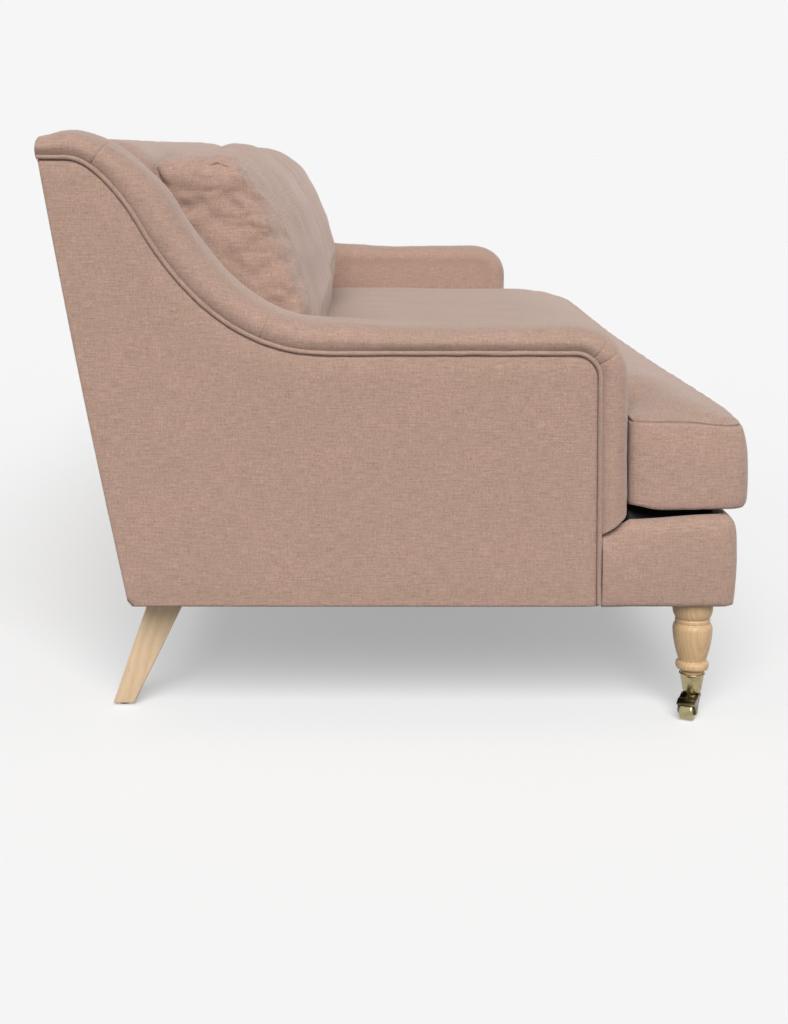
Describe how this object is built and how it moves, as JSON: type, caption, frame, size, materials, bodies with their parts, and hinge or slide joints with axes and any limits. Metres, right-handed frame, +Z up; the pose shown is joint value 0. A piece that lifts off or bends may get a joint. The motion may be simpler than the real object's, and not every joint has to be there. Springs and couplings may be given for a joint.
{
  "type": "sofa",
  "caption": "Upholstered sofa with low rolled arms that sweep up into the back, a bench seat cushion, loose back cushions, turned front legs on castors and splayed rear legs.",
  "frame": {"origin": "on the floor, under the middle of the sofa's box", "axes": "+X along the length, to the right seen from the front; +Y from the front edge to the back; +Z up"},
  "size_m": [2.134, 1.0456, 0.878],
  "materials": {
    "cover_fabric": "dusty pink linen weave, matte, with darker slubs",
    "welt_fabric": "the same linen, cut on the bias over a cord",
    "cushion_fabric": "the same linen over a soft filling",
    "frame_wood": "sawn hardwood, unfinished",
    "leg_wood": "light natural hardwood, clear satin finish",
    "antique_brass": "antique brass, polished with dark patina in the corners",
    "glide_plastic": "dark nylon",
    "deck_padding": "cotton felt pad",
    "dust_cloth": "black non-woven cloth",
    "spring_steel": "drawn wire",
    "back_webbing": "woven elastic webbing"
  },
  "bodies": {
    "sofa_frame": {"left_side_panel": "cover_fabric", "right_side_panel": "cover_fabric", "left_welt": "welt_fabric", "right_welt": "welt_fabric", "left_arm_roll": "cover_fabric", "right_arm_roll": "cover_fabric", "left_inside_arm": "cover_fabric", "right_inside_arm": "cover_fabric", "left_front_post": "frame_wood", "right_front_post": "frame_wood", "left_arm_rail": "frame_wood", "right_arm_rail": "frame_wood", "left_back_post": "frame_wood", "right_back_post": "frame_wood", "left_wing_rail": "frame_wood", "right_wing_rail": "frame_wood", "left_side_rail": "frame_wood", "right_side_rail": "frame_wood", "left_front_corner_block": "frame_wood", "right_front_corner_block": "frame_wood", "left_rear_corner_block": "frame_wood", "right_rear_corner_block": "frame_wood", "left_front_leg": "leg_wood", "right_front_leg": "leg_wood", "left_castor_cup": "antique_brass", "right_castor_cup": "antique_brass", "left_rear_leg": "leg_wood", "right_rear_leg": "leg_wood", "left_rear_glide": "glide_plastic", "right_rear_glide": "glide_plastic", "front_seat_rail": "frame_wood", "back_seat_rail": "frame_wood", "seat_stretcher": "frame_wood", "back_top_rail": "frame_wood", "back_lower_rail": "frame_wood", "back_centre_post": "frame_wood", "seat_deck": "deck_padding", "front_border": "cover_fabric", "inside_back": "cover_fabric", "outside_back": "cover_fabric", "dust_cover": "dust_cloth", "seat_spring_1": "spring_steel", "seat_spring_2": "spring_steel", "seat_spring_3": "spring_steel", "seat_spring_4": "spring_steel", "seat_spring_5": "spring_steel", "seat_spring_6": "spring_steel", "back_strap_1": "back_webbing", "back_strap_2": "back_webbing", "back_strap_3": "back_webbing", "back_strap_4": "back_webbing"},
    "left_castor": {"left_castor_fork": "antique_brass", "left_castor_axle": "antique_brass"},
    "left_wheel": {"left_castor_wheel": "antique_brass"},
    "right_castor": {"right_castor_fork": "antique_brass", "right_castor_axle": "antique_brass"},
    "right_wheel": {"right_castor_wheel": "antique_brass"},
    "seat_cushion_body": {"seat_cushion": "cushion_fabric"},
    "left_back_cushion_body": {"left_back_cushion": "cushion_fabric"},
    "right_back_cushion_body": {"right_back_cushion": "cushion_fabric"}
  },
  "joints": [
    {"name": "left_castor_swivel", "type": "hinge", "parent": "sofa_frame", "child": "left_castor", "pos_m": [-1.022, -0.452, 0.036], "axis": [0, 0, 1], "continuous": true},
    {"name": "left_wheel_spin", "type": "hinge", "parent": "left_castor", "child": "left_wheel", "pos_m": [-1.04411, -0.44122, 0.014], "axis": [0.4384, 0.8988, 0], "continuous": true},
    {"name": "right_castor_swivel", "type": "hinge", "parent": "sofa_frame", "child": "right_castor", "pos_m": [1.022, -0.452, 0.036], "axis": [0, 0, 1], "continuous": true},
    {"name": "right_wheel_spin", "type": "hinge", "parent": "right_castor", "child": "right_wheel", "pos_m": [1.04411, -0.44122, 0.014], "axis": [-0.4384, 0.8988, 0], "continuous": true},
    {"name": "seat_cushion_slide", "type": "slide", "parent": "sofa_frame", "child": "seat_cushion_body", "axis": [0, -1, 0], "range_m": [0, 0.6]},
    {"name": "left_back_cushion_lift", "type": "slide", "parent": "sofa_frame", "child": "left_back_cushion_body", "axis": [0, 0, 1], "range_m": [0, 0.4]},
    {"name": "right_back_cushion_lift", "type": "slide", "parent": "sofa_frame", "child": "right_back_cushion_body", "axis": [0, 0, 1], "range_m": [0, 0.4]}
  ]
}
